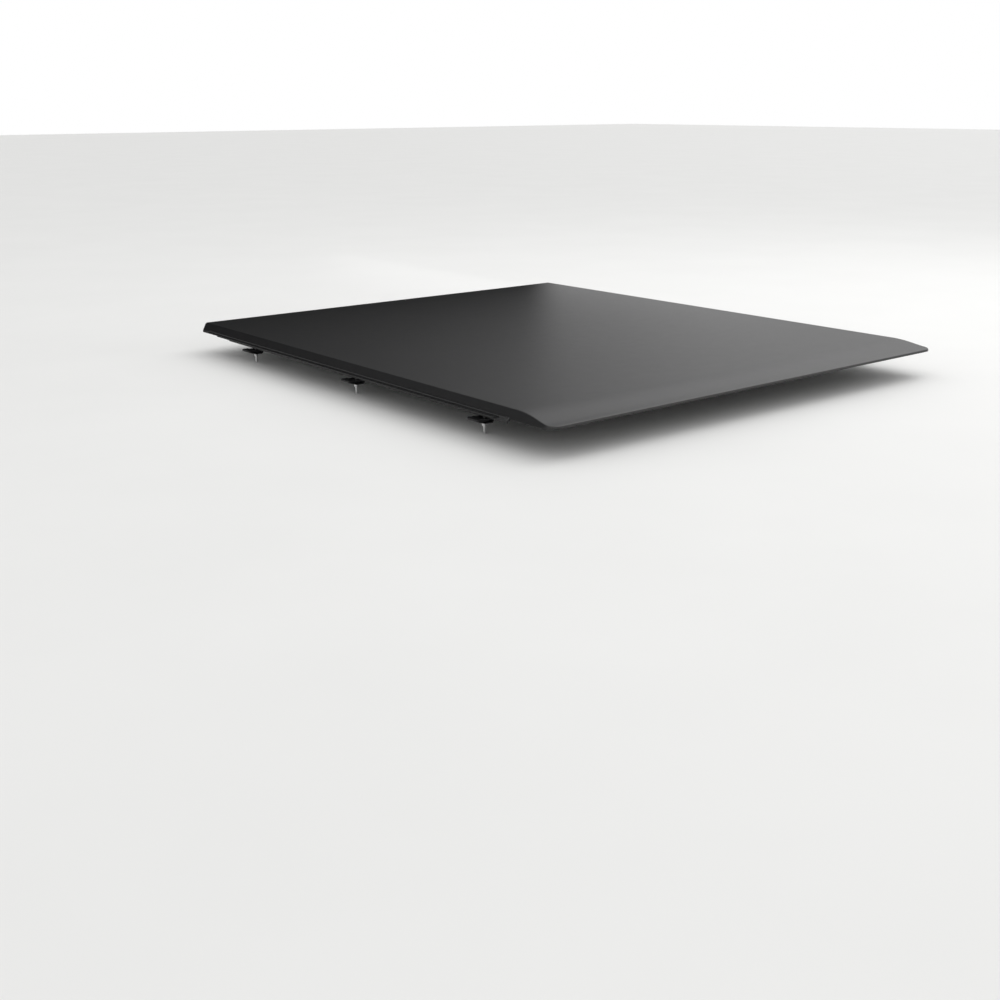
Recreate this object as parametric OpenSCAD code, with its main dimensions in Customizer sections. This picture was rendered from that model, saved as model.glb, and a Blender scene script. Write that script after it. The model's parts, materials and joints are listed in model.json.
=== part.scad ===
// Soft roll-up tonneau cover: a vinyl sheet over side rails, a header, cross bows and a rear bar.
// +X is the right side seen from behind, +Y points forwards, +Z is up.
// The origin is on the ground below the middle of the cover, which stands on its clamp bolts.

/* [Cover sheet] */
// Width of the sheet between its two side folds
cover_w = 1426; // [1200:1:1700]
// Length of the cover from the rear lip to the front edge
cover_l = 1660; // [1500:1:1900]
// Thickness of the coated fabric
sheet_t = 1.2; // [0.8:0.1:2]
// Height of the side flaps below the top
flap_drop = 21.5; // [16:0.5:26]
// How far the flaps flare outwards at their hem
flap_out = 11.5; // [6:0.5:16]
// Outer radius of the side folds
fold_r = 5; // [3:0.5:8]
// How far the sheet falls towards the rear lip
rear_dip = 15; // [8:0.5:18]
// Length over which the sheet falls
dip_l = 130; // [90:1:160]
// Corner radius of the rear corners in plan
corner_r = 32; // [20:1:60]
// Diameter of the bead in the side hems
bead_d = 4; // [3:0.5:5]
// Distance from the rear lip to the end of the hem beads
bead_end_s = 150; // [135:1:190]
// Diameter of the stop on each hem bead
stop_d = 9; // [7:0.5:12]

/* [Roll] */
// Number of sections that the sheet folds into, the fixed front one included
section_n = 13; // [11:1:14]
// Length of the rearmost section, which holds the rear bar
inner_l = 60; // [56:1:64]

/* [Side rails] */
// Height of the top of the sheet above the surface that carries the rails
deck_h = 31; // [28:0.5:40]
// Wall thickness of the extrusions
wall = 2.2; // [1.6:0.1:3]
// Width of the rail's closed chamber, from the side fold inwards
rail_w = 30; // [24:1:45]
// How far the rail's foot reaches out from the side fold
foot_out = 14; // [10:0.5:18]
// Thickness of the foam seal under the rails and the header
seal_t = 2.5; // [1.5:0.5:4]
// Width of the bolt channel on the inner side
chan_w = 24; // [22:1:32]
// Height of the bolt channel
chan_h = 14; // [13:0.5:14.5]
// Depth of the leg that locates the rail, below the surface that carries it
leg_drop = 18; // [8:1:20]
// Distance from the rear lip to the rear end of the rails
rail_rear_s = 197; // [165:1:260]
// Thickness of the hook strips on the rails
strip_t = 1.2; // [0.8:0.1:2]

/* [Header] */
// Depth of the header from front to back
header_d = 95; // [80:1:140]
// Depth of the header's closed chamber
header_box_d = 52; // [45:1:70]
// Length of the corner pieces' tongues inside the rails and the header
tongue_l = 30; // [28:1:45]
// Length of the lower lip of the corner pieces, behind the front edge
corner_lip_l = 45; // [30:1:60]

/* [Cross bows] */
// Number of cross bows
bow_n = 4; // [3:1:4]
// Distance from the rear lip to the rearmost bow
bow_rear_s = 437; // [429:1:449]
// Width of a bow
bow_w = 36; // [28:1:40]
// Height of a bow
bow_h = 10.6; // [9:0.2:11]
// Wall of a bow
bow_wall = 1.6; // [1.2:0.1:2]
// Thickness of the pads under the ends of a bow
pad_t = 1.4; // [1:0.1:2]

/* [Rear bar] */
// Gap between the rearmost hinge line and the rear bar
bar_gap = 3; // [2:0.5:6]
// Length of the moulded bar ends along the bar
bar_end_l = 16; // [14:1:24]
// Diameter of the latch bolts
latch_d = 6; // [5:0.5:6.5]
// Travel of the latch bolts
latch_travel = 14; // [8:0.5:16]
// Distance of the latch bolts from the rear lip
latch_s = 46; // [44:1:50]

/* [Clamps] */
// Clamps on each side
clamp_n = 3; // [2:1:4]
// Distance from the rear lip to the rearmost clamps
clamp_s = 300; // [230:1:400]
// Distance from the header to the foremost clamps
clamp_front = 145; // [100:1:240]
// Thickness of the flange that the clamps hold
flange_t = 22; // [21:1:40]
// Diameter of the clamp bolts
bolt_d = 8; // [6:1:8]
// Length of a jaw along the rail
jaw_l = 40; // [30:1:60]
// Thickness of a jaw's arm at the bolt
jaw_t = 12; // [9:0.5:16]
// Opening travel of a jaw
jaw_travel = 15; // [8:1:25]
// Height of a clamp nut
nut_h = 8; // [6:0.5:10]

/* [Clearances] */
// Gap between the sheet and the frame below it
sheet_gap = 0.3; // [0.2:0.1:0.6]
// Gap between plugs and the hollows that they fill
plug_gap = 0.2; // [0.1:0.05:0.4]
// Radial running clearance of the latch bolts and clamp nuts
run_gap = 0.1; // [0.05:0.01:0.1]
// Gap between pieces that part when the cover is rolled up
part_gap = 0.3; // [0.2:0.1:0.6]
// Gap between the ends of the rear bar and the rail ends
side_gap = 2; // [1:0.5:4]
// Radial clearance of the latch bolts in their keepers
keeper_gap = 1; // [0.5:0.1:1.2]

/* [Hidden] */
$fn = 48;
half_w = cover_w / 2;
half_l = cover_l / 2;
// Allowance by which a cut passes through what it cuts
over = 1;
// Heights above the ground
tip_spare = 5;
toe_rise = 2;
bed_z = flange_t + toe_rise + jaw_t + nut_h + jaw_travel + tip_spare;
top_z = bed_z + deck_h;
hem_z = top_z - flap_drop;
rail_top = top_z - sheet_t - sheet_gap;
foot_z = bed_z + seal_t;
// Slope of the flaps
flap_slope = flap_out / flap_drop;
flap_a = atan(flap_slope);
flap_cos = cos(flap_a);
// Roll sections, counted from the front
step_l = (cover_l - header_d - section_n * inner_l) / (section_n * (section_n - 1) / 2);
function section_l(k) = inner_l + step_l * (section_n - k);
function sum_l(k) = k < 1 ? 0 : section_l(k) + sum_l(k - 1);
function hinge_s(k) = cover_l - header_d - sum_l(k);
section_gap = 0.2;
glue_gap = 0.05;
// Cross bows and the ledge that carries them
bow_top = top_z - sheet_t - plug_gap;
bow_bottom = bow_top - bow_h;
ledge_z = bow_bottom - pad_t - part_gap;
bow_half = half_w - rail_w - side_gap;
bow_pitch = (cover_l - header_d - bow_rear_s) / bow_n;
bow_edge_r = 3;
cap_t = 2;
cap_plug_l = 22;
// Bolt channel
chan_z = ledge_z - chan_h;
slot_w = bolt_d + 1;
neck_w = bolt_d + 0.4;
bolt_u = -rail_w - chan_w / 2;
bolt_head_d = 2.1 * bolt_d;
// Clamps
clamp_pitch = (cover_l - header_d - clamp_front - clamp_s) / (clamp_n - 1);
toe_z = bed_z - flange_t;
arm_z = toe_z - toe_rise;
jaw_z = arm_z - jaw_t;
nut_gap = 0.1;
// Rear bar
bar_front_s = inner_l - bar_gap;
bar_rear_s = sheet_t + sheet_gap;
bar_end_u = -rail_w + side_gap;
bar_half = half_w + bar_end_u - bar_end_l;
bar_plug_l = 20;
// The bar is as deep as its latch bolts need below the falling sheet
latch_room = latch_d + 4 * run_gap;
bar_z = sheet_z(latch_s - latch_d / 2) - sheet_t - sheet_gap - 2 * wall - latch_room;
latch_z = bar_z + wall + latch_room / 2;
latch_l = bar_end_l + bar_plug_l + 26;
knob_d = 8;
knob_l = 6;
stem_d = 4;
knob_x = bar_half - bar_plug_l + 2;
knob_slot_h = stem_d + 1;
keeper_u = bar_end_u + side_gap;
keeper_rear_s = latch_s - 10;
wing_front_s = keeper_rear_s - side_gap;
// Header
header_half = half_w - rail_w - plug_gap;
screw_d = 5;
screw_l = 11;
rail_screw_z = (ledge_z + rail_top) / 2;
header_screw_z = (foot_z + rail_top) / 2;

side_names = ["left", "right"];
function side_of(i) = i == 0 ? -1 : 1;
function two(k) = k < 10 ? str("0", k) : str(k);

vinyl = "#2b2b2d";
powder = "#1d1d1f";
moulded = "#232325";
rubber = "#141414";
zinc = "#b9bcc0";
mill = "#a8abae";

// Places: u runs outwards from the side fold, s forwards from the rear lip
function x_at(u) = half_w + u;
function y_at(s) = s - half_l;
function ease(t) = t <= 0 ? 0 : t >= 1 ? 1 : t * t * (3 - 2 * t);
function dip(s) = s >= dip_l ? 0 : rear_dip * ease(pow((dip_l - s) / dip_l, 1.2));
function sheet_z(s) = top_z - dip(s);
function flap_u(z, inset) = (top_z - z) * flap_slope - inset / flap_cos;
dip_steps = 13;
corner_steps = 8;
fold_steps = 5;
function dip_points(s0, s1, drop) =
    [for (i = [0 : dip_steps]) let (s = s0 + (s1 - s0) * i / dip_steps) [y_at(s), sheet_z(s) - drop]];

module on_side(side) {
    if (side < 0) mirror([1, 0, 0]) children();
    else children();
}

module both_sides() {
    for (side = [-1, 1]) on_side(side) children();
}

// Extrudes an X-Z outline along the length between two distances from the rear lip
module along(s0, s1) {
    translate([0, y_at(s1), 0]) rotate([90, 0, 0]) linear_extrude(s1 - s0) children();
}

// Extrudes a Y-Z outline across the width
module across(x0, x1) {
    translate([x0, 0, 0]) rotate([90, 0, 90]) linear_extrude(x1 - x0) children();
}

module slab(s0, s1, z0, z1) {
    w = half_w + flap_out + over;
    translate([-w, y_at(s0), z0]) cube([2 * w, s1 - s0, z1 - z0]);
}

// Cross-section of the cover with rounded side folds, inset from the outer face
module cover_section_2d(inset, floor_z) {
    r = max(fold_r - inset, 0.1 * fold_r);
    cx = half_w - fold_r * (1 - sin(flap_a)) / cos(flap_a);
    cz = top_z - fold_r;
    arc = [for (i = [0 : fold_steps]) let (a = 90 + (flap_a - 90) * i / fold_steps)
        [cx + r * cos(a), cz + r * sin(a)]];
    right = concat(arc, [[x_at(flap_u(floor_z, inset)), floor_z]]);
    left = [for (i = [len(right) - 1 : -1 : 0]) [-right[i][0], right[i][1]]];
    polygon(concat(right, left));
}

// Side view of the cover with the fall to the rear
module cover_side_2d(inset, floor_z) {
    polygon(concat(
        [[y_at(0), floor_z]],
        dip_points(0, dip_l, inset),
        [[y_at(cover_l), top_z - inset], [y_at(cover_l), floor_z]]
    ));
}

// Plan of the cover at its hem, with rounded rear corners
module cover_plan_2d(inset) {
    h = inset / flap_cos;
    w = half_w + flap_out - h;
    r = corner_r - h;
    arc = [for (i = [0 : corner_steps]) let (a = 90 * i / corner_steps - 90)
        [w - r + r * cos(a), y_at(h + r) + r * sin(a)]];
    right = concat(arc, [[w, y_at(cover_l - h)]]);
    left = [for (i = [len(right) - 1 : -1 : 0]) [-right[i][0], right[i][1]]];
    polygon(concat(right, left));
}

// Space below the cover's outer face, inset by a distance
module cover_space(inset, floor_z) {
    intersection() {
        along(-over, cover_l + over) cover_section_2d(inset, floor_z);
        across(-half_w - flap_out - over, half_w + flap_out + over) cover_side_2d(inset, floor_z);
        translate([0, 0, floor_z]) linear_extrude(top_z - floor_z) cover_plan_2d(inset);
    }
}

bead_u = flap_out + 0.3;

module hem_beads(s0, s1) {
    if (s1 > s0) both_sides() translate([x_at(bead_u), y_at(s1), hem_z + bead_d / 2])
        rotate([90, 0, 0]) cylinder(h = s1 - s0, d = bead_d);
}

// One section of the sheet: top, flaps and the bead in each hem
module cover_section(k) {
    s0 = k == section_n ? -over : hinge_s(k) + section_gap / 2;
    s1 = k == 1 ? cover_l + over : hinge_s(k - 1) - section_gap / 2;
    color(vinyl) union() {
        difference() {
            intersection() {
                cover_space(0, hem_z);
                slab(s0, s1, hem_z - over, top_z + over);
            }
            cover_space(sheet_t, hem_z - over);
        }
        hem_beads(max(s0, bead_end_s), min(s1, cover_l - corner_lip_l));
    }
}

// Small end plugs that clip over the hems where the beads end
module hem_stops() {
    body_l = 7;
    tip_l = 1.6;
    tip_d = stop_d - 3;
    grip = 0.1;
    color(moulded) both_sides() difference() {
        translate([x_at(flap_out - bead_d / 8), y_at(bead_end_s - part_gap), hem_z - bead_d / 3])
            rotate([90, 0, 0]) union() {
                cylinder(h = body_l, d = stop_d);
                translate([0, 0, body_l]) cylinder(h = tip_l, d1 = stop_d, d2 = tip_d);
            }
        along(bead_end_s - body_l - 2 * tip_l, bead_end_s + over) polygon([
            [x_at(flap_u(hem_z, -grip)), hem_z - grip],
            [x_at(flap_u(top_z, -grip)), top_z],
            [x_at(flap_u(top_z, sheet_t + grip)), top_z],
            [x_at(flap_u(hem_z, sheet_t + grip)), hem_z - grip]
        ]);
    }
}

// Outer wall line of the rails, behind the flap and the hook strip
function wall_u(z) = flap_u(z, sheet_t + sheet_gap + strip_t);

module rail_chamber_2d(gap) {
    z0 = foot_z + wall + gap;
    z1 = rail_top - wall - gap;
    side = (wall + gap) / flap_cos;
    polygon([
        [-rail_w + wall + gap, z0],
        [wall_u(z0) - side, z0],
        [wall_u(z1) - side, z1],
        [-rail_w + wall + gap, z1]
    ]);
}

// Chamber walls without the foot
module rail_box_2d() {
    polygon([
        [-rail_w, foot_z],
        [wall_u(foot_z), foot_z],
        [wall_u(rail_top), rail_top],
        [-rail_w, rail_top]
    ]);
}

// Foot with a rounded edge, which shows as a thin ledge below the flap
module rail_foot_2d() {
    translate([-rail_w, foot_z]) square([rail_w + foot_out - wall / 2, wall]);
    translate([foot_out - wall / 2, foot_z + wall / 2]) circle(d = wall);
}

module rail_2d() {
    difference() {
        union() {
            rail_box_2d();
            rail_foot_2d();
            translate([-rail_w - chan_w, chan_z]) square([chan_w, chan_h]);
            translate([-rail_w, bed_z - leg_drop]) square([wall, leg_drop + seal_t]);
        }
        rail_chamber_2d(0);
        translate([-rail_w - chan_w + wall, chan_z + wall]) square([chan_w - 2 * wall, chan_h - 2 * wall]);
        translate([bolt_u - slot_w / 2, chan_z - over]) square([slot_w, wall + 2 * over]);
    }
}

// Places of the two screws through the rail, and of the two through the header, at each corner
module rail_screw_places() {
    for (i = [1, 2]) translate([x_at(-rail_w), y_at(cover_l - header_d - i * tongue_l / 3), rail_screw_z])
        rotate([0, 90, 0]) children();
}

module header_screw_places() {
    for (i = [1, 2]) translate([header_half - i * tongue_l / 3, header_y(header_box_d), header_screw_z])
        rotate([-90, 0, 0]) children();
}

module screw_hole(depth, gap) {
    translate([0, 0, -over]) cylinder(h = depth + 2 * over, d = screw_d + 2 * gap);
}

module side_rail(side) {
    color(powder) on_side(side) difference() {
        along(rail_rear_s, cover_l - header_d) translate([half_w, 0]) rail_2d();
        rail_screw_places() screw_hole(wall, 0.25);
    }
}

// Foam strip between the leg and the edge of the foot
module rail_seal(side) {
    inner = -rail_w + wall + 1;
    outer = foot_out - 2;
    color(rubber) on_side(side) along(rail_rear_s, cover_l - header_d)
        translate([x_at(inner), bed_z]) square([outer - inner, seal_t]);
}

module hook_strip(side) {
    z0 = hem_z + 1;
    z1 = rail_top - fold_r + 1;
    t0 = glue_gap / flap_cos;
    t1 = strip_t / flap_cos;
    color(rubber) on_side(side) along(rail_rear_s, cover_l - header_d) polygon([
        [x_at(wall_u(z0) + t0), z0],
        [x_at(wall_u(z0) + t1), z0],
        [x_at(wall_u(z1) + t1), z1],
        [x_at(wall_u(z1) + t0), z1]
    ]);
}

// Moulded end of a rail: a plug in the rail's chamber and a low arm with the keeper of the latch
module rail_end(side) {
    low = 1;
    rib = 3;
    x0 = x_at(keeper_u);
    arm_w = -keeper_u - side_gap;
    front_s = rail_rear_s - plug_gap;
    keeper_front_s = latch_s + 12;
    pocket_h = latch_z - latch_d / 2 - foot_z;
    color(moulded) on_side(side) difference() {
        union() {
            across(x0, x0 + arm_w) polygon(concat(
                [[y_at(keeper_rear_s), foot_z]],
                dip_points(keeper_rear_s, dip_l, sheet_t + low),
                [[y_at(front_s), top_z - sheet_t - low], [y_at(front_s), foot_z]]
            ));
            along(rail_rear_s - over, rail_rear_s + tongue_l)
                translate([half_w, 0]) rail_chamber_2d(plug_gap);
        }
        translate([x0 + rib, y_at(keeper_front_s), foot_z - over])
            cube([arm_w - 2 * rib, dip_l - keeper_front_s - rib, pocket_h + over]);
        translate([x0 + rib, y_at(dip_l + rib), foot_z - over])
            cube([arm_w - 2 * rib, rail_rear_s - dip_l - 3 * rib, rail_top - foot_z - 2 * rib]);
        translate([x0 - over, y_at(latch_s), latch_z]) rotate([0, 90, 0])
            cylinder(h = latch_travel + 2 + over, d = latch_d + 2 * keeper_gap);
    }
}

// Header extrusion: a chamber at the front, a flange under the sheet and a groove for the sheet's edge
function header_y(f) = half_l - f;
header_front = sheet_t + sheet_gap;
groove_w = 5;
spline_d = groove_w - 2 * plug_gap;
groove_z = hem_z - groove_w - 0.5;
header_lip_h = 12;

module header_chamber_2d(gap) {
    f0 = header_front + 2 * wall + groove_w + gap;
    f1 = header_box_d - wall - gap;
    z0 = foot_z + wall + gap;
    z1 = rail_top - wall - gap;
    translate([header_y(f1), z0]) square([f1 - f0, z1 - z0]);
}

module header_2d() {
    difference() {
        union() {
            translate([header_y(header_box_d), foot_z])
                square([header_box_d - header_front - fold_r, rail_top - foot_z]);
            translate([header_y(header_front + fold_r), foot_z])
                square([fold_r, rail_top - foot_z - fold_r]);
            translate([header_y(header_front + fold_r), rail_top - fold_r]) circle(fold_r);
            translate([header_y(header_d), rail_top - wall]) square([header_d - header_box_d, wall]);
            translate([header_y(header_d), rail_top - header_lip_h]) square([wall, header_lip_h]);
        }
        header_chamber_2d(0);
        translate([header_y(header_front + wall + groove_w), groove_z])
            square([wall + groove_w + over, groove_w]);
    }
}

module header() {
    color(powder) difference() {
        across(-header_half, header_half) header_2d();
        both_sides() header_screw_places() screw_hole(wall, 0.25);
    }
}

module header_spline() {
    color(rubber) across(-header_half, header_half)
        translate([header_y(header_front + wall + groove_w / 2), groove_z + groove_w / 2])
            circle(d = spline_d);
}

module header_seal() {
    edge = 4;
    color(rubber) across(-header_half + edge, header_half - edge)
        translate([header_y(header_box_d - edge), bed_z])
            square([header_box_d - header_front - 2.5 * edge, seal_t]);
}

// Cast corner that joins a rail to the header, with a lower lip that shows below the sheet's flap
module header_corner(side) {
    s0 = cover_l - header_d + plug_gap;
    s1 = cover_l - header_front;
    pocket = 3;
    color(powder) on_side(side) difference() {
        union() {
            along(s0, s1) translate([half_w, 0]) rail_box_2d();
            along(cover_l - corner_lip_l, s1) translate([half_w, foot_z])
                square([foot_out - 1, hem_z - foot_z - part_gap]);
            along(s0 - tongue_l, s0 + over) translate([half_w, 0]) rail_chamber_2d(plug_gap);
            across(header_half - tongue_l, header_half + over) header_chamber_2d(plug_gap);
        }
        translate([x_at(-rail_w + pocket), y_at(s0 + pocket), foot_z - over])
            cube([rail_w - 3 * pocket, s1 - s0 - 2 * pocket, rail_top - foot_z - pocket + over]);
        rail_screw_places() screw_hole(screw_l, 0.05);
        header_screw_places() screw_hole(screw_l, 0.05);
    }
}

// Pan-head screw with a hexagon socket, its head below the seat
module pan_screw() {
    head_h = 2.8;
    socket_d = 3.4;
    cylinder(h = screw_l, d = screw_d);
    difference() {
        translate([0, 0, -head_h]) cylinder(h = head_h, d1 = 1.4 * screw_d, d2 = 1.88 * screw_d);
        translate([0, 0, -head_h - over]) cylinder(h = head_h / 2 + over, d = socket_d, $fn = 6);
    }
}

module corner_screws() {
    color(zinc) both_sides() {
        rail_screw_places() pan_screw();
        header_screw_places() pan_screw();
    }
}

// Cross bows
function bow_s(k) = cover_l - header_d - k * bow_pitch;

module round_bar_2d(w, h, r) {
    translate([-w / 2 + r, 0]) square([w - 2 * r, h]);
    translate([-w / 2, r]) square([w, h - 2 * r]);
    for (a = [-1, 1], b = [r, h - r]) translate([a * (w / 2 - r), b]) circle(r);
}

module bow_hollow_2d(gap) {
    inner_w = bow_w - 2 * bow_wall - 2 * gap;
    inner_h = bow_h - 2 * bow_wall - 2 * gap;
    translate([-inner_w / 2, bow_wall + gap]) square([inner_w, inner_h]);
}

module cross_bow(k) {
    color(mill) translate([0, y_at(bow_s(k)), bow_bottom]) across(-bow_half + cap_t, bow_half - cap_t)
        difference() {
            round_bar_2d(bow_w, bow_h, bow_edge_r);
            bow_hollow_2d(0);
        }
}

module bow_caps(k) {
    color(moulded) translate([0, y_at(bow_s(k)), bow_bottom]) both_sides() {
        across(bow_half - cap_t, bow_half) union() {
            round_bar_2d(bow_w, bow_h, bow_edge_r);
            translate([-bow_w / 2, -pad_t]) square([bow_w, bow_h / 2]);
        }
        across(bow_half - cap_t - cap_plug_l, bow_half) bow_hollow_2d(plug_gap);
        across(bow_half - cap_plug_l, bow_half) translate([-bow_w / 2, -pad_t]) square([bow_w, pad_t]);
    }
}

// Rear bar: a wedge below the falling end of the sheet
module bar_2d(drop, s0, s1) {
    polygon(concat([[y_at(s0), bar_z]], dip_points(s0, s1, drop), [[y_at(s1), bar_z]]));
}

module bar_hollow_2d(gap) {
    s0 = bar_hollow_s + gap;
    s1 = bar_front_s - wall - gap;
    z0 = bar_z + wall + gap;
    polygon(concat(
        [[y_at(s0), z0]],
        dip_points(s0, s1, sheet_t + sheet_gap + wall + gap),
        [[y_at(s1), z0]]
    ));
}

bar_hollow_s = 16;
groove_s = 8;
groove_h = 3.6;

module rear_bar() {
    color(powder) difference() {
        across(-bar_half, bar_half) difference() {
            bar_2d(sheet_t + sheet_gap, bar_rear_s, bar_front_s);
            bar_hollow_2d(0);
            translate([y_at(groove_s - groove_h / 2), bar_z - over]) square([groove_h, groove_h + over]);
        }
        both_sides()
            translate([knob_x - stem_d / 2 - over, y_at(bar_front_s - wall - over),
                latch_z - knob_slot_h / 2])
                cube([latch_travel + stem_d + 2 * over, wall + 2 * over, knob_slot_h]);
    }
}

module rear_spline() {
    color(rubber) across(-bar_half, bar_half)
        translate([y_at(groove_s), bar_z + groove_h / 2]) circle(d = groove_h - 2 * plug_gap);
}

// Wiper seal below the rear bar, which closes the gap under the cover's rear edge
seal_s = 14;
seal_w = 12;
seal_drop = 3.2;
seal_lip_t = 1.6;
bulb_d = 5;
bulb_wall = 1.2;

module tailgate_seal() {
    bulb = [y_at(seal_s + seal_w / 2), bar_z - 1];
    color(rubber) across(-bar_half, bar_half) difference() {
        union() {
            translate([y_at(seal_s), bar_z - 1]) square([seal_w, 1]);
            for (s = [seal_s, seal_s + seal_w - seal_lip_t])
                translate([y_at(s), bar_z - seal_drop]) square([seal_lip_t, seal_drop]);
            translate(bulb) circle(d = bulb_d);
        }
        translate(bulb) circle(d = bulb_d - 2 * bulb_wall);
        translate([y_at(seal_s), bar_z]) square([seal_w, bulb_d]);
    }
}

// Moulded end of the rear bar: a plug, the guide of the latch bolt and a wing below the rounded corner
module rear_bar_end(side) {
    color(moulded) on_side(side) difference() {
        union() {
            across(bar_half + plug_gap / 2, x_at(bar_end_u))
                bar_2d(sheet_t + sheet_gap, bar_rear_s + part_gap, bar_front_s);
            intersection() {
                cover_space(sheet_t + sheet_gap, hem_z);
                translate([x_at(bar_end_u) - over, y_at(0), hem_z])
                    cube([flap_out - bar_end_u + 2 * over, wing_front_s, flap_drop]);
            }
            across(bar_half - bar_plug_l, bar_half + over) bar_hollow_2d(plug_gap);
        }
        translate([bar_half - bar_plug_l - over, y_at(latch_s), latch_z]) {
            rotate([0, 90, 0]) cylinder(h = bar_plug_l + bar_end_l + 2 * over, d = latch_d + 2 * run_gap);
            translate([0, 0, -knob_slot_h / 2])
                cube([bar_plug_l + over, bar_front_s - latch_s, knob_slot_h]);
        }
    }
}

// Latch bolt with its thumb knob, drawn back so that the bar can be lifted
module latch_bolt(side) {
    x1 = x_at(bar_end_u) - 0.5;
    chamfer = 1;
    stem_l = bar_front_s - latch_s + part_gap;
    color(zinc) on_side(side) {
        translate([x1 - latch_l, y_at(latch_s), latch_z]) rotate([0, 90, 0]) {
            cylinder(h = latch_l - chamfer, d = latch_d);
            translate([0, 0, latch_l - chamfer])
                cylinder(h = chamfer, d1 = latch_d, d2 = latch_d - 2 * chamfer);
        }
        translate([knob_x, y_at(latch_s), latch_z]) rotate([-90, 0, 0]) {
            cylinder(h = stem_l + chamfer, d = stem_d);
            translate([0, 0, stem_l]) cylinder(h = knob_l - chamfer, d = knob_d);
            translate([0, 0, stem_l + knob_l - chamfer])
                cylinder(h = chamfer, d1 = knob_d, d2 = knob_d - 2 * chamfer);
        }
    }
}

// Clamps: a fixed bolt in the rail's channel, a jaw below the flange that it holds and a nut
function clamp_side(k) = k <= clamp_n ? -1 : 1;
function clamp_y(k) = y_at(clamp_s + ((k - 1) % clamp_n) * clamp_pitch);

module clamp_place(k) {
    on_side(clamp_side(k)) translate([x_at(bolt_u), clamp_y(k), 0]) children();
}

module clamp_bolts() {
    head_z = chan_z + wall;
    chamfer = 1;
    rim_h = 1.5;
    dome_h = 2.5;
    neck_h = wall + 1.5;
    color(zinc) for (k = [1 : 2 * clamp_n]) clamp_place(k) {
        translate([0, 0, chamfer]) cylinder(h = head_z - chamfer, d = bolt_d);
        cylinder(h = chamfer, d1 = bolt_d - 2 * chamfer, d2 = bolt_d);
        translate([0, 0, head_z]) cylinder(h = rim_h, d = bolt_head_d);
        translate([0, 0, head_z + rim_h]) cylinder(h = dome_h, d1 = bolt_head_d, d2 = bolt_d + chamfer);
        translate([-neck_w / 2, -neck_w / 2, head_z - neck_h]) cube([neck_w, neck_w, neck_h]);
    }
}

// Jaw outline from the side: heel below the channel, arm round the bolt and toe below the flange.
// With a rim, it is the outline of the recess that leaves this rim around it.
heel_in = -rail_w - chan_w - 2;
heel_out = bolt_u - bolt_d / 2 - 1.6;
toe_in = -rail_w + 5;
toe_out = -8;
toe_nose = 6;

module jaw_2d(rim) {
    bevel = jaw_t / 3;
    polygon([
        [heel_in + rim, chan_z - part_gap - rim],
        [heel_out - rim, chan_z - part_gap - rim],
        [heel_out - rim, arm_z + bevel - rim],
        [heel_out + bevel / 3 - rim, arm_z - rim],
        [toe_in - toe_rise, arm_z - rim],
        [toe_in, toe_z - rim],
        [toe_out - 2 * rim, toe_z - rim],
        [toe_out + 2 - 2 * rim, toe_z - 2 - rim],
        [toe_out + 2 - 2 * rim, toe_z - toe_nose + rim / 2],
        [-rail_w, jaw_z + rim],
        [heel_in + bevel + rim / 2, jaw_z + rim],
        [heel_in + rim, jaw_z + bevel + rim / 2]
    ]);
}

// Cast jaw with a recess in each end face, a web round the bolt and teeth on its toe
module clamp_jaw(k) {
    rim = 2.4;
    web = bolt_d + 10;
    teeth = 3;
    color(powder) on_side(clamp_side(k)) translate([x_at(0), clamp_y(k), 0]) difference() {
        rotate([90, 0, 0]) linear_extrude(jaw_l, center = true) jaw_2d(0);
        for (side = [-1, 1]) translate([0, side * (web + jaw_l) / 4 + side * over / 2, 0]) rotate([90, 0, 0])
            linear_extrude((jaw_l - web) / 2 + over, center = true) jaw_2d(rim);
        for (i = [1 : teeth]) translate([toe_in + i * (toe_out - toe_in) / (teeth + 1), 0, toe_z])
            rotate([0, 45, 0]) cube([1.6, jaw_l + 2 * over, 1.6], center = true);
        translate([bolt_u, 0, jaw_z - over]) cylinder(h = jaw_t + toe_nose, d = bolt_d + 1);
    }
}

// Hexagon nut with a flange
module clamp_nut(k) {
    z1 = jaw_z - nut_gap;
    flats = 1.6 * bolt_d;
    rim_h = 2;
    color(zinc) clamp_place(k) difference() {
        union() {
            translate([0, 0, z1 - nut_h]) cylinder(h = nut_h, d = flats / cos(30), $fn = 6);
            translate([0, 0, z1 - rim_h]) cylinder(h = rim_h, d = bolt_head_d);
        }
        translate([0, 0, z1 - nut_h - over]) cylinder(h = nut_h + 2 * over, d = bolt_d + 2 * run_gap);
    }
}

for (k = [1 : section_n])
    cover_section(k);
for (k = [1 : bow_n]) {
    cross_bow(k);
    bow_caps(k);
}
for (i = [0, 1]) {
    side_rail(side_of(i));
    rail_end(side_of(i));
    rail_seal(side_of(i));
    hook_strip(side_of(i));
    header_corner(side_of(i));
    rear_bar_end(side_of(i));
    latch_bolt(side_of(i));
}
header();
header_seal();
header_spline();
corner_screws();
rear_bar();
rear_spline();
tailgate_seal();
hem_stops();
clamp_bolts();
for (k = [1 : 2 * clamp_n]) {
    clamp_jaw(k);
    clamp_nut(k);
}
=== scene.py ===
import json
import math

import bpy
from mathutils import Matrix, Vector

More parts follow.
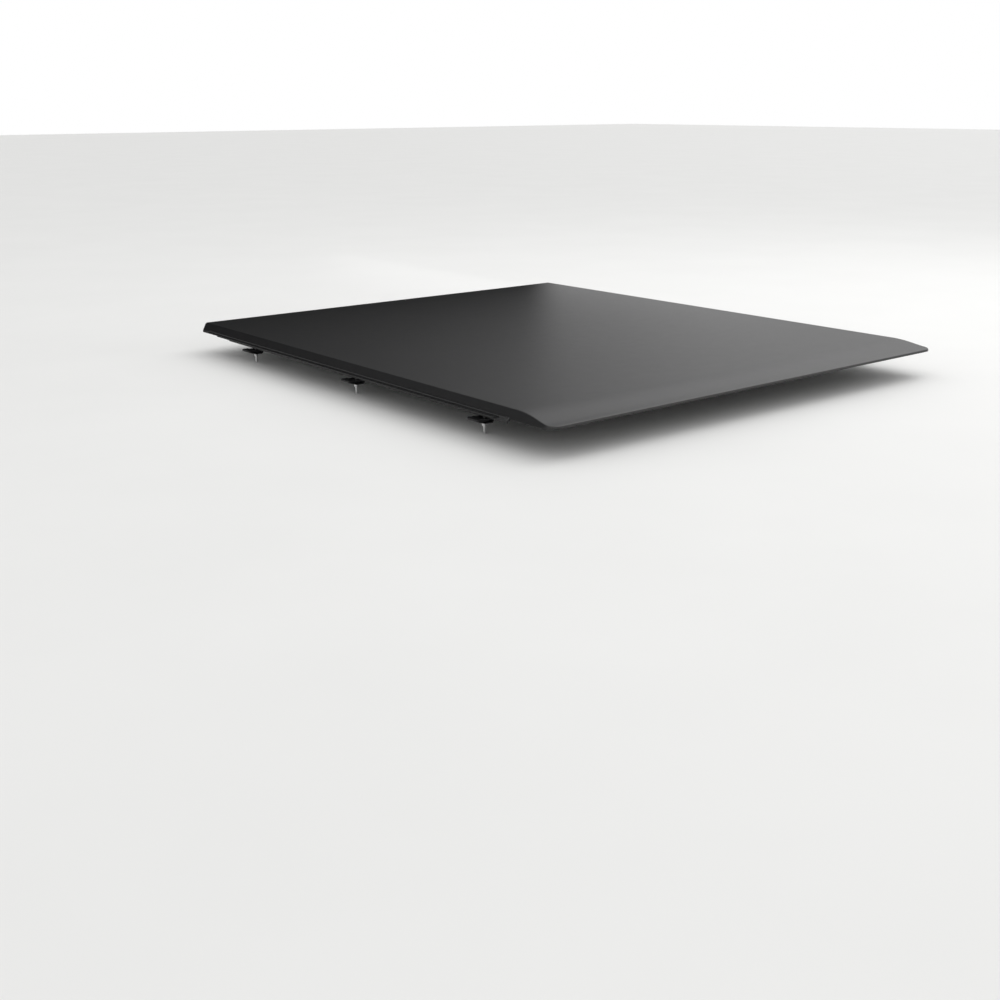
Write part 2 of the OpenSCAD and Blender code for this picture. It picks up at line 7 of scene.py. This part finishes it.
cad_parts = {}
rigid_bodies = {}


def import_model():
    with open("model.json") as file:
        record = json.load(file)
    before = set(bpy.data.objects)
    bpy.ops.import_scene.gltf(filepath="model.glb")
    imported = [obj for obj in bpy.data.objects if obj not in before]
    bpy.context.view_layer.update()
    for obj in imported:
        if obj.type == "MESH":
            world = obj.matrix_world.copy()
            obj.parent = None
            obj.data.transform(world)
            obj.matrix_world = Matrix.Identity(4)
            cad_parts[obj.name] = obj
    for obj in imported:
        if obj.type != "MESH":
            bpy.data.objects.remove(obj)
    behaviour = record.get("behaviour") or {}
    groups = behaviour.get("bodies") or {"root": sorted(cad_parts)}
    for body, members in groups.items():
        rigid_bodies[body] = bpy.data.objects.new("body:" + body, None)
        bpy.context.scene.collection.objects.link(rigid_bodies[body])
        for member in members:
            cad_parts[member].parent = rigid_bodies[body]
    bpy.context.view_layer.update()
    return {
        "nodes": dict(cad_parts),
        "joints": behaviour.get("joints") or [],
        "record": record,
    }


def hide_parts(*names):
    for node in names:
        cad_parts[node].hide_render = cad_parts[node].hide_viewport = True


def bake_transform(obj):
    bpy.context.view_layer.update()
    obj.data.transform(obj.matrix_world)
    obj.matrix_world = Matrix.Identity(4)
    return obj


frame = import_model()
nodes = frame["nodes"]
scene = bpy.context.scene
MM = 0.001

# Sizes of the sheet in millimetres, as in the part's source.
# A place s along the sheet counts forwards from the rear lip.
HALF_W, LENGTH, TOP, HEM = 713.0, 1660.0, 95.0, 73.5
FLAP_OUT, CORNER_R, SHEET_T, LIP = 11.5, 32.0, 1.2, 8.0
DIP, DIP_L, DIP_POWER = 15.0, 130.0, 1.2
SLOPE = FLAP_OUT / (TOP - HEM)

# Round a rear corner the flap turns from its side slope to its rear slope
REAR_SLOPE, TURN_LEAST, TURN_SOFT = 0.06, 0.05, 0.002

# The fold over the flap is tighter where the flap is low, and that height is found in a few passes
FOLD_R, FOLD_SHARE, FRONT_R, LEAST_R = 5.0, 0.38, 3.0, 0.3
HEIGHT_PASSES = 3

# The turned hem is lower on a low flap, and its bead has two ends
HEM_UP, HEM_FULL_AT = 2.85, 12.0
BEAD_D, BEAD_IN, BEAD_REAR, BEAD_FRONT, BEAD_FADE = 4.0, -0.3, 150.0, 1615.0, 2.0
BEAD_FROM, BEAD_TURN = -99, 254

# Stitches on the flap: each is a thread of rings (place along it, size), sunk into the flap at both ends
STITCH_L, STITCH_W, STITCH_H, STITCH_PROUD = 4.6, 0.42, 0.28, 0.32
STITCH_PITCH, STITCH_UP, STITCH_END = 6.4, 7.2, 4
STITCH_RINGS = ((-0.5, 0.0), (-0.36, 0.8), (0.0, 1.0), (0.36, 0.8), (0.5, 0.0))
STITCH_SIDES, STITCH_THIN, STITCH_SUNK = 6, 0.25, 0.55

# Counts of faces, and the rows across the sheet
HEM_STEPS, FLAP_STEPS, FOLD_STEPS, CORNER_STEPS, COLUMNS = 8, 4, 7, 18, 26
FOLD_FROM = HEM_STEPS + FLAP_STEPS
RIM, RIM_SPLIT = 24.0, 0.3
BEND = 11
HINGE_ROWS = (0, 1.5, 3, 4.5, 6, 7.5, 9, BEND, 14)
BEAD_ROWS = (0, 0.5, 1.2)
DIP_STEP, FLAT_STEP, END_STEP, LEAST_STEP = 4.0, 20.0, 1.0, 0.35


def add_object(name, data):
    obj = bpy.data.objects.new(name, data)
    scene.collection.objects.link(obj)
    return obj


def new_mesh(name, verts, faces, angle=35):
    """A mesh piece from points in millimetres, smooth except along edges sharper than the angle."""
    mesh = bpy.data.meshes.new(name)
    mesh.from_pydata([[c * MM for c in v] for v in verts], [], faces)
    mesh.validate()
    mesh.polygons.foreach_set("use_smooth", [True] * len(mesh.polygons))
    mesh.set_sharp_from_angle(angle=math.radians(angle))
    return add_object(name, mesh)


# Materials

def material(name, color, rough, metallic=0.0, specular=0.5):
    mat = bpy.data.materials.new(name)
    mat.use_nodes = True
    tree = mat.node_tree
    shader = tree.nodes["Principled BSDF"]
    shader.inputs["Base Color"].default_value = (*color, 1)
    shader.inputs["Roughness"].default_value = rough
    shader.inputs["Metallic"].default_value = metallic
    shader.inputs["Specular IOR Level"].default_value = specular
    return mat, tree, shader


def coords(tree, scale=(1, 1, 1)):
    place = tree.nodes.new("ShaderNodeTexCoord")
    mapping = tree.nodes.new("ShaderNodeMapping")
    mapping.inputs["Scale"].default_value = scale
    tree.links.new(place.outputs["Object"], mapping.inputs["Vector"])
    return mapping.outputs["Vector"]


def noise(tree, vector, scale, detail=4.0, rough=0.55):
    node = tree.nodes.new("ShaderNodeTexNoise")
    node.inputs["Scale"].default_value = scale
    node.inputs["Detail"].default_value = detail
    node.inputs["Roughness"].default_value = rough
    tree.links.new(vector, node.inputs["Vector"])
    return node.outputs["Fac"]


def cells(tree, vector, scale):
    node = tree.nodes.new("ShaderNodeTexVoronoi")
    node.feature = "F1"
    node.inputs["Scale"].default_value = scale
    tree.links.new(vector, node.inputs["Vector"])
    return node.outputs["Distance"]


def axes(tree, vector):
    node = tree.nodes.new("ShaderNodeSeparateXYZ")
    tree.links.new(vector, node.inputs["Vector"])
    return node.outputs


def maths(tree, operation, a, b):
    node = tree.nodes.new("ShaderNodeMath")
    node.operation = operation
    tree.links.new(a, node.inputs[0])
    tree.links.new(b, node.inputs[1])
    return node.outputs["Value"]


def remap(tree, value, a, b, lo, hi):
    node = tree.nodes.new("ShaderNodeMapRange")
    node.interpolation_type = "SMOOTHSTEP"
    for key, v in (("From Min", a), ("From Max", b), ("To Min", lo), ("To Max", hi)):
        node.inputs[key].default_value = v
    tree.links.new(value, node.inputs["Value"])
    return node.outputs["Result"]


def tint(tree, shader, value, dark, light):
    """Varies the base colour between two shades."""
    node = tree.nodes.new("ShaderNodeMix")
    node.data_type = "RGBA"
    node.inputs["A"].default_value = (*dark, 1)
    node.inputs["B"].default_value = (*light, 1)
    tree.links.new(value, node.inputs["Factor"])
    tree.links.new(node.outputs["Result"], shader.inputs["Base Color"])


def vary_gloss(tree, shader, value, lo, hi):
    """Varies the roughness between two values over the middle of a noise."""
    tree.links.new(remap(tree, value, 0.3, 0.7, lo, hi), shader.inputs["Roughness"])


def bump(tree, shader, *layers):
    """Stacks height layers of (value, strength, distance in metres)."""
    last = None
    for value, strength, distance in layers:
        node = tree.nodes.new("ShaderNodeBump")
        node.inputs["Strength"].default_value = strength
        node.inputs["Distance"].default_value = distance
        tree.links.new(value, node.inputs["Height"])
        if last is not None:
            tree.links.new(last, node.inputs["Normal"])
        last = node.outputs["Normal"]
    tree.links.new(last, shader.inputs["Normal"])


def make_vinyl():
    mat, tree, shader = material("vinyl", (0.01, 0.01, 0.0105), 0.42)
    v = coords(tree)
    cloud = noise(tree, v, 5.0, 3)
    wave = noise(tree, v, 2.4, 2)
    grain = cells(tree, v, 900.0)
    fine = noise(tree, v, 2200.0, 2)
    tint(tree, shader, cloud, (0.0085, 0.0085, 0.009), (0.012, 0.012, 0.0125))
    vary_gloss(tree, shader, noise(tree, v, 30.0, 4), 0.418, 0.43)
    bump(tree, shader, (wave, 0.006, 0.004), (grain, 0.22, 0.0004), (fine, 0.12, 0.0002))
    return mat


def make_thread():
    mat, tree, shader = material("thread", (0.02, 0.02, 0.021), 0.6)
    twist = noise(tree, coords(tree), 1600.0, 2)
    tint(tree, shader, twist, (0.014, 0.014, 0.015), (0.03, 0.03, 0.031))
    bump(tree, shader, (twist, 0.3, 0.0003))
    return mat


def make_powder():
    mat, tree, shader = material("powder_coat", (0.014, 0.014, 0.015), 0.46)
    v = coords(tree)
    peel = noise(tree, v, 1100.0, 3)
    tint(tree, shader, noise(tree, v, 9.0, 3), (0.011, 0.011, 0.012), (0.018, 0.018, 0.019))
    vary_gloss(tree, shader, noise(tree, v, 60.0, 3), 0.40, 0.54)
    bump(tree, shader, (peel, 0.25, 0.0003))
    return mat


def make_aluminium():
    mat, tree, shader = material("bow_aluminium", (0.56, 0.57, 0.585), 0.34, metallic=1.0)
    lines = noise(tree, coords(tree, (1.2, 900.0, 900.0)), 1.0, 3)
    tint(tree, shader, noise(tree, coords(tree), 7.0, 3), (0.48, 0.49, 0.50), (0.60, 0.61, 0.625))
    vary_gloss(tree, shader, lines, 0.26, 0.46)
    bump(tree, shader, (lines, 0.16, 0.0002))
    return mat


def make_plastic():
    mat, tree, shader = material("moulded_plastic", (0.016, 0.016, 0.017), 0.5)
    v = coords(tree)
    spark = cells(tree, v, 1500.0)
    tint(tree, shader, noise(tree, v, 25.0, 3), (0.012, 0.012, 0.013), (0.021, 0.021, 0.022))
    vary_gloss(tree, shader, noise(tree, v, 90.0, 2), 0.44, 0.58)
    bump(tree, shader, (spark, 0.3, 0.0002))
    return mat


def make_tape():
    mat, tree, shader = material("hook_tape", (0.01, 0.01, 0.01), 0.85)
    hooks = cells(tree, coords(tree), 700.0)
    tint(tree, shader, hooks, (0.006, 0.006, 0.006), (0.022, 0.022, 0.022))
    bump(tree, shader, (hooks, 0.8, 0.001))
    return mat


def make_rubber():
    mat, tree, shader = material("rubber", (0.012, 0.012, 0.012), 0.75, specular=0.35)
    v = coords(tree)
    pores = cells(tree, v, 800.0)
    fine = noise(tree, v, 2500.0, 2)
    tint(tree, shader, noise(tree, v, 40.0, 3), (0.009, 0.009, 0.009), (0.018, 0.018, 0.018))
    bump(tree, shader, (pores, 0.35, 0.0004), (fine, 0.2, 0.0002))
    return mat


def make_cast():
    mat, tree, shader = material("jaw_coat", (0.024, 0.024, 0.026), 0.55, metallic=0.3)
    v = coords(tree)
    sand = noise(tree, v, 700.0, 4)
    tint(tree, shader, noise(tree, v, 45.0, 4), (0.017, 0.017, 0.018), (0.034, 0.034, 0.036))
    vary_gloss(tree, shader, sand, 0.48, 0.66)
    bump(tree, shader, (sand, 0.45, 0.0006))
    return mat


def make_zinc():
    mat, tree, shader = material("zinc", (0.62, 0.63, 0.64), 0.3, metallic=1.0)
    v = coords(tree)
    spangle = cells(tree, v, 260.0)
    tint(tree, shader, spangle, (0.50, 0.51, 0.52), (0.68, 0.68, 0.67))
    vary_gloss(tree, shader, noise(tree, v, 320.0, 3), 0.24, 0.42)
    bump(tree, shader, (noise(tree, v, 1200.0, 2), 0.12, 0.0002))
    return mat


looks = {
    "vinyl": make_vinyl(),
    "powder_coat": make_powder(),
    "bow_aluminium": make_aluminium(),
    "moulded_plastic": make_plastic(),
    "hook_tape": make_tape(),
    "rubber": make_rubber(),
    "jaw_coat": make_cast(),
    "zinc": make_zinc(),
}
thread = make_thread()

# CAD nodes keep their shape, with softened edges in millimetres where light catches them
bevels = {
    "side_rail": 0.4,
    "header_corner": 0.6,
    "header": 0.4,
    "rear_bar": 0.4,
    "rail_end": 0.6,
    "bow_caps": 0.4,
    "clamp_jaw": 0.8,
}
WELD_REACH, EDGE_ANGLE, EDGE_SEGMENTS = 0.01, 40, 2
for sub in frame["record"]["subparts"]:
    obj = nodes[sub["node"]]
    slot = sub["material_slot"]
    obj.data.materials.clear()
    obj.data.materials.append(looks[slot])
    kind = next((k for k in bevels if sub["node"].startswith(k)), None)
    if kind and slot != "rubber":
        weld = obj.modifiers.new("weld", "WELD")
        weld.merge_threshold = WELD_REACH * MM
        soft = obj.modifiers.new("edges", "BEVEL")
        soft.width = bevels[kind] * MM
        soft.segments = EDGE_SEGMENTS
        soft.limit_method = "ANGLE"
        soft.angle_limit = math.radians(EDGE_ANGLE)
        soft.harden_normals = True


# Sheet

def ease(t):
    t = min(max(t, 0.0), 1.0)
    return t * t * (3 - 2 * t)


def top_z(s):
    """Height of the sheet's top: it falls to the rear lip and rolls over the front edge."""
    z = TOP
    if s < DIP_L:
        z -= DIP * ease(((DIP_L - s) / DIP_L) ** DIP_POWER)
    over = s - (LENGTH - FRONT_R)
    if over > 0:
        z -= FRONT_R - math.sqrt(max(FRONT_R**2 - over**2, 0.0))
    return z


def rim(height, slope, bead, inset):
    """Points (inwards, up) from the hem to the top: the turned hem with its bead, the flap and the fold."""
    phi = math.atan2(1.0, slope)
    co, si = math.cos(phi), math.sin(phi)
    radius = min(FOLD_R, FOLD_SHARE * height)
    corner = slope * height
    tangent = radius * math.tan(phi / 2)
    low = HEM_UP * min(1.0, height / HEM_FULL_AT)
    points = []
    for i in range(HEM_STEPS + 1):
        z = low * i / HEM_STEPS
        d = z * slope
        if inset:
            d += inset / si
        elif bead > 0:
            a = math.radians(BEAD_FROM + BEAD_TURN * i / HEM_STEPS)
            r = BEAD_D / 2
            d += bead * (BEAD_IN - r * math.cos(a) - d)
            z += bead * (r + r * math.sin(a) - z)
        points.append((d, z))
    d0, z0 = low * slope, low
    d1, z1 = corner - tangent * co, height - tangent * si
    for i in range(1, FLAP_STEPS):
        f = i / FLAP_STEPS
        points.append((d0 + (d1 - d0) * f + inset * si, z0 + (z1 - z0) * f - inset * co))
    inner = max(radius - inset, LEAST_R)
    d2 = corner + tangent
    for i in range(FOLD_STEPS + 1):
        b = phi * (1 - i / FOLD_STEPS)
        points.append((d2 - inner * math.sin(b), height - radius + inner * math.cos(b)))
    for f in (RIM_SPLIT, 1.0):
        points.append((d2 + (RIM - d2) * f, height - inset))
    return points


def rim_place(x, s, nx, ns, slope, bead, inset):
    """The rim's points in space at one point of the hem's outline, whose outward direction is (nx, ns)."""
    height = top_z(s) - HEM
    for _ in range(HEIGHT_PASSES):
        height = top_z(s - ns * slope * height) - HEM
    placed = []
    for i, (d, z) in enumerate(rim(height, slope, bead, inset)):
        ps = s - ns * d
        pz = HEM + z
        if ns != 0:
            pz += ease((i - FOLD_FROM) / FOLD_STEPS) * (top_z(ps) - (HEM + height))
        placed.append((x - nx * d, ps, pz))
    return placed


def bead_share(s):
    return ease((s - BEAD_REAR) / BEAD_FADE + 0.5) * ease((BEAD_FRONT - s) / BEAD_FADE + 0.5)


def corner_slope(c, height):
    """Slope of the flap round a rear corner: the side flap's lean fades where the corner turns away."""
    lean = (SLOPE * height - CORNER_R * (1 - c)) / (height * max(c, TURN_LEAST)) - REAR_SLOPE
    return REAR_SLOPE + (lean + math.sqrt(lean * lean + TURN_SOFT)) / 2


def outline(rows, rear, front, inset):
    """Stations (x, s, outward x, outward s, slope, bead) along the left hem and round the rear corner."""
    wide = HALF_W + FLAP_OUT
    stations = []
    for s in rows:
        place = s - inset if front and s == rows[0] else s
        stations.append((-wide, place, -1.0, 0.0, SLOPE, bead_share(s)))
    corner = range(1, CORNER_STEPS + 1) if rear else ()
    for i in corner:
        a = math.radians(90 * i / CORNER_STEPS)
        c, n = (0.0, 1.0) if i == CORNER_STEPS else (math.cos(a), math.sin(a))
        s = CORNER_R * (1 - n)
        slope = corner_slope(c, top_z(s) - HEM)
        stations.append((-wide + CORNER_R * (1 - c), s, -c, -n, slope, 0.0))
    return stations


def layer(rows, rear, front, inset):
    """One face of a sheet piece: its points and its quads, in the same order for outer and inner face."""
    verts, quads = [], []

    def add(point):
        verts.append(point)
        return len(verts) - 1

    def across(a, b):
        """A row of points from point a on the left to point b on the right."""
        pa, pb = verts[a], verts[b]
        width = pb[0] - pa[0]
        between = [add((pa[0] + width * (j / COLUMNS), pa[1], pa[2])) for j in range(1, COLUMNS)]
        return [a] + between + [b]

    left, right = [], []
    for station in outline(rows, rear, front, inset):
        points = rim_place(*station, inset)
        left.append([add(p) for p in points])
        right.append([add((-p[0], p[1], p[2])) for p in points])
    top = [across(a[-1], b[-1]) for a, b in zip(left, right)]
    for r in range(len(left) - 1):
        for strip, turn in ((left, -1), (right, 1)):
            for i in range(len(strip[r]) - 1):
                q = [strip[r][i], strip[r][i + 1], strip[r + 1][i + 1], strip[r + 1][i]]
                quads.append(q[::turn])
        for j in range(COLUMNS):
            quads.append([top[r][j], top[r + 1][j], top[r + 1][j + 1], top[r][j + 1]])
    for end, turn in [(-1, 1)] * rear + [(0, -1)] * front:
        grid = [across(a, b) for a, b in zip(left[end][:-1], right[end][:-1])] + [top[end]]
        for lower, upper in zip(grid, grid[1:]):
            for j in range(COLUMNS):
                q = [lower[j], lower[j + 1], upper[j + 1], upper[j]]
                quads.append(q[::turn])
    return verts, quads


def sheet_piece(name, rows, rear, front):
    """A closed piece of the sheet: outer face, inner face and the strip that joins their open edges."""
    verts, quads = layer(rows, rear, front, 0.0)
    under = layer(rows, rear, front, SHEET_T)[0]
    n = len(verts)
    verts = [(x, s - LENGTH / 2, z) for x, s, z in verts + under]
    edges = dict.fromkeys((a, b) for q in quads for a, b in zip(q, q[1:] + q[:1]))
    faces = quads + [[i + n for i in q[::-1]] for q in quads]
    faces += [[b, a, a + n, b + n] for a, b in edges if (b, a) not in edges]
    return new_mesh(name, verts, faces)


def both_ways(place, offsets):
    return {place + sign * d for d in offsets for sign in (-1, 1)}


def row_list(s1, s0, hinge):
    """Rows across the sheet from s1 back to s0: close at the hinge line, wider apart elsewhere."""
    rows = {s1, s0, s0 + END_STEP, s1 - END_STEP}
    rows |= both_ways(hinge, HINGE_ROWS)
    rows |= both_ways(BEAD_REAR, BEAD_ROWS) | both_ways(BEAD_FRONT, BEAD_ROWS)
    s = s0
    while s < s1:
        rows.add(s)
        s += DIP_STEP if s < DIP_L else FLAT_STEP
    if s1 == LENGTH:
        rows |= {LENGTH - FRONT_R + FRONT_R * math.sin(math.radians(a)) for a in range(0, 90, 15)}
    kept = []
    for s in sorted((r for r in rows if s0 <= r <= s1), reverse=True):
        if not kept or kept[-1] - s > LEAST_STEP or s == s0:
            kept.append(s)
    return kept


def stitch(s, side):
    """Points of one thread loop at a place on a flap, ring by ring, just above the hem's bead."""
    flap = math.atan2(SLOPE, 1.0)
    co, si = math.cos(flap), math.sin(flap)
    points = []
    for f, size in STITCH_RINGS:
        thick = max(size, STITCH_THIN)
        for k in range(STITCH_SIDES):
            a = math.radians(360 / STITCH_SIDES * k)
            along = STITCH_W * thick * math.cos(a)
            lift = STITCH_PROUD * (size - STITCH_SUNK) + STITCH_H * thick * math.sin(a)
            u = HALF_W + FLAP_OUT - STITCH_UP * SLOPE - along * si + lift * co
            z = HEM + STITCH_UP + along * co + lift * si
            points.append((side * u, s + f * STITCH_L - LENGTH / 2, z))
    return points


def stitches(name, s1, s0):
    """A row of thread loops along both flaps, or nothing where the piece has no bead."""
    s1, s0 = min(s1, BEAD_FRONT - STITCH_END), max(s0, BEAD_REAR + STITCH_END)
    count = max(round((s1 - s0) / STITCH_PITCH), 0)
    n, last = STITCH_SIDES, len(STITCH_RINGS) - 1
    verts, faces = [], []
    for k in range(count):
        s = s0 + (k + 0.5) * (s1 - s0) / count
        for side in (-1, 1):
            base = len(verts)
            verts += stitch(s, side)
            for r in range(last):
                low, high = base + r * n, base + (r + 1) * n
                for i in range(n):
                    j = (i + 1) % n
                    faces.append([low + i, low + j, high + j, high + i][::side])
            faces.append([base + i for i in range(n)][::-side])
            faces.append([base + last * n + i for i in range(n)][::side])
    return new_mesh(name, verts, faces, angle=80) if verts else None


hinges = []
for joint in frame["joints"]:
    if joint["child"].startswith("section_"):
        _, y, z = joint["pos_m"]
        hinges.append((y / MM + LENGTH / 2, z / MM, joint["parent"], joint["child"]))
hinges.sort(reverse=True)
lines = [h[0] for h in hinges]
cuts = [LENGTH] + [(a + b) / 2 for a, b in zip(lines, lines[1:])] + [CORNER_R]

# Each piece of the sheet has its closest rows at one hinge line and is cut in the middle of two sections
for i, (s, z, parent, child) in enumerate(hinges):
    number = i + 1
    is_front, is_rear = i == 0, i == len(hinges) - 1
    s1, s0 = cuts[i], cuts[i + 1]
    piece = sheet_piece(f"sheet_{number:02d}", row_list(s1, s0, s), rear=is_rear, front=is_front)
    piece.data.materials.append(looks["vinyl"])
    row = stitches(f"hem_stitches_{number:02d}", s1, s0)
    if row is not None:
        row.data.materials.append(thread)
        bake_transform(row)
    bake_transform(piece)
    first = f"cover_section_{number:02d}"
    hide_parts(first, *([f"cover_section_{number + 1:02d}"] if is_rear else []))
    long = (s1 - s0) * MM
    if is_rear:
        long += (CORNER_R + LIP) * MM
    if is_front:
        long += (TOP - HEM) * MM

# Stage: from here on, places are in metres
FLOOR = 30
floor_mesh = bpy.data.meshes.new("floor")
floor_mesh.from_pydata(
    [(-FLOOR, -FLOOR, 0), (FLOOR, -FLOOR, 0), (FLOOR, FLOOR, 0), (-FLOOR, FLOOR, 0)], [], [(0, 1, 2, 3)]
)
floor = add_object("floor", floor_mesh)
pale, tree, shader = material("floor_paint", (0.78, 0.78, 0.77), 0.7)
tint(tree, shader, noise(tree, coords(tree), 2.0, 3), (0.76, 0.76, 0.75), (0.80, 0.80, 0.79))
floor_mesh.materials.append(pale)

# Light: a white room, in which surfaces mirror a sky that is dark ahead and brightens with height
# and to both sides, between two bearings in degrees from straight ahead
RIGHT_BEARINGS, RIGHT_LIGHT = (27.5, 60), (0.04, 0.885)
LEFT_BEARINGS, LEFT_LIGHT = (-10, -150), (0.0, 0.86)
RISE, RISE_LIGHT = (0.0, 0.8), (0.83, 2.15)
world = bpy.data.worlds.new("studio")
scene.world = world
world.use_nodes = True
tree = world.node_tree
tree.nodes.clear()
room = tree.nodes.new("ShaderNodeBackground")
mirrored = tree.nodes.new("ShaderNodeBackground")
for background in (room, mirrored):
    background.inputs["Color"].default_value = (1.0, 1.0, 1.0, 1)
room.inputs["Strength"].default_value = 1.0
toward = axes(tree, tree.nodes.new("ShaderNodeTexCoord").outputs["Generated"])
bearing = maths(tree, "ARCTAN2", toward["X"], toward["Y"])
rightwards = remap(tree, bearing, *map(math.radians, RIGHT_BEARINGS), *RIGHT_LIGHT)
leftwards = remap(tree, bearing, *map(math.radians, LEFT_BEARINGS), *LEFT_LIGHT)
sideways = maths(tree, "MAXIMUM", rightwards, leftwards)
upwards = remap(tree, toward["Z"], *RISE, *RISE_LIGHT)
tree.links.new(maths(tree, "MULTIPLY", sideways, upwards), mirrored.inputs["Strength"])
path = tree.nodes.new("ShaderNodeLightPath")
either = tree.nodes.new("ShaderNodeMixShader")
tree.links.new(path.outputs["Is Glossy Ray"], either.inputs["Fac"])
tree.links.new(room.outputs["Background"], either.inputs[1])
tree.links.new(mirrored.outputs["Background"], either.inputs[2])
out = tree.nodes.new("ShaderNodeOutputWorld")
tree.links.new(either.outputs["Shader"], out.inputs["Surface"])

KEY_FROM, KEY_TO = Vector((2.6, -0.6, 3.4)), Vector((0, 0, 0.08))
key_data = bpy.data.lights.new("key", "AREA")
key_data.shape = "DISK"
key_data.size = 3.0
key_data.energy = 40
key = add_object("key", key_data)
key.location = KEY_FROM
key.rotation_euler = (KEY_TO - KEY_FROM).to_track_quat("-Z", "Y").to_euler()
scene.view_settings.view_transform = "Standard"


def panel(name, foot, heights, light, *fades):
    """An upright panel that only reflections see, with a soft upper edge and a soft end."""
    (a, b), (low, high) = foot, heights
    mesh = bpy.data.meshes.new(name)
    mesh.from_pydata([(*a, low), (*b, low), (*b, high), (*a, high)], [], [(0, 1, 2, 3)])
    obj = add_object(name, mesh)
    cloth, tree, shader = material(name + "_cloth", (0.0, 0.0, 0.0), 1.0, specular=0.0)
    shader.inputs["Emission Color"].default_value = (light, light, light, 1)
    shader.inputs["Emission Strength"].default_value = 1.0
    place = axes(tree, coords(tree))
    shares = [remap(tree, place[axis], full, gone, 1.0, 0.0) for axis, full, gone in fades]
    tree.links.new(maths(tree, "MULTIPLY", *shares), shader.inputs["Alpha"])
    mesh.materials.append(cloth)
    obj.visible_camera = False
    obj.visible_diffuse = False
    obj.visible_shadow = False
    obj.visible_transmission = False
    obj.visible_volume_scatter = False


# A dark panel in front of the cover, and a pale one along its right side
panel("flag", ((-4.5, 0.93), (0.9, 0.93)), (0.04, 1.0), 0.0, ("Z", 0.1, 1.0), ("X", 0.68, 0.9))
panel("card", ((1.1, -0.6), (1.1, 3.0)), (0.04, 0.42), 1.15, ("Z", 0.18, 0.42), ("Y", 0.4, -0.5))

# Camera, as fitted to the photograph
EYE = Vector((-2.4715, -2.8202, 0.7548))
YAW, PITCH, ROLL = (math.radians(a) for a in (38.897, -17.567, 0.171))
ahead = Vector((math.sin(YAW) * math.cos(PITCH), math.cos(YAW) * math.cos(PITCH), math.sin(PITCH)))
level = Vector((math.cos(YAW), -math.sin(YAW), 0))
below = ahead.cross(level)
right = level * math.cos(ROLL) + below * math.sin(ROLL)
down = -level * math.sin(ROLL) + below * math.cos(ROLL)
camera_data = bpy.data.cameras.new("camera")
camera_data.sensor_width = 36
camera_data.lens = 45.307
camera_data.clip_end = 100
camera = add_object("camera", camera_data)
turn = Matrix((right, -down, -ahead)).transposed().to_4x4()
camera.matrix_world = Matrix.Translation(EYE) @ turn
scene.camera = camera

bpy.context.view_layer.update()
